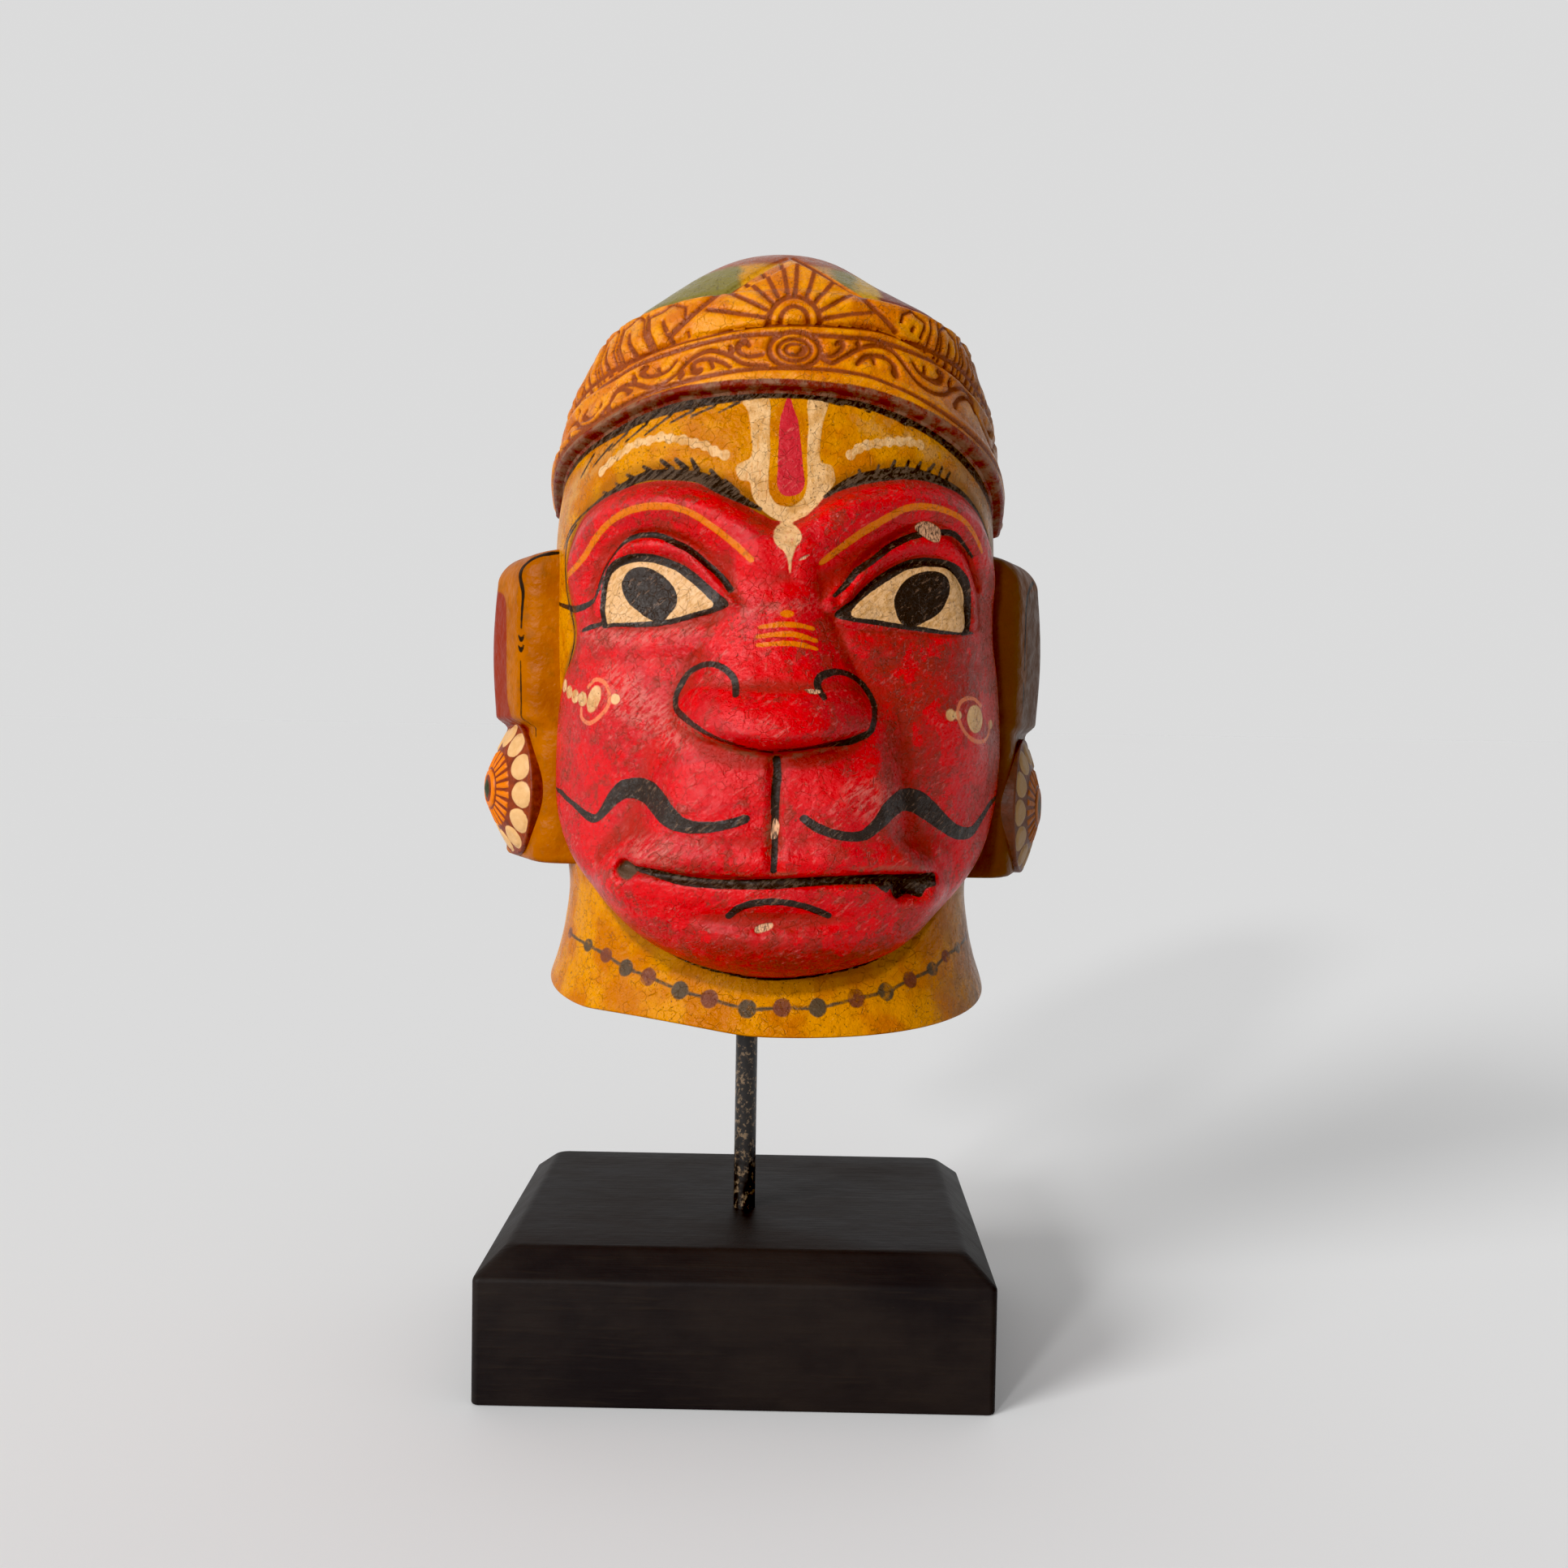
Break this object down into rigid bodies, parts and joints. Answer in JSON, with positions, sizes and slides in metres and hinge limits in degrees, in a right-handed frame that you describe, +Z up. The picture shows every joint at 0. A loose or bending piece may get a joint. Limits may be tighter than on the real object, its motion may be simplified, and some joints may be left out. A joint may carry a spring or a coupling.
{
  "type": "carved mask on a stand",
  "caption": "Carved and painted wooden monkey face mask with a crown, hollow at the back, held up by a round metal rod on a bevelled rectangular wooden base.",
  "frame": {"origin": "middle of the base's underside, on the surface it stands on", "axes": "+Z up, the mask's face looks along -Y, +X is to the right as the face is seen from the front"},
  "size_m": [0.1848, 0.1301, 0.3501],
  "materials": {
    "painted_wood": "hand-painted wood in red, ochre, cream and black, satin varnish, worn",
    "black_metal": "black, semi-gloss",
    "dark_wood": "black-brown stain, satin, scuffed edges"
  },
  "bodies": {
    "root": {"mask": "painted_wood", "rod": "black_metal", "base": "dark_wood"}
  },
  "joints": []
}
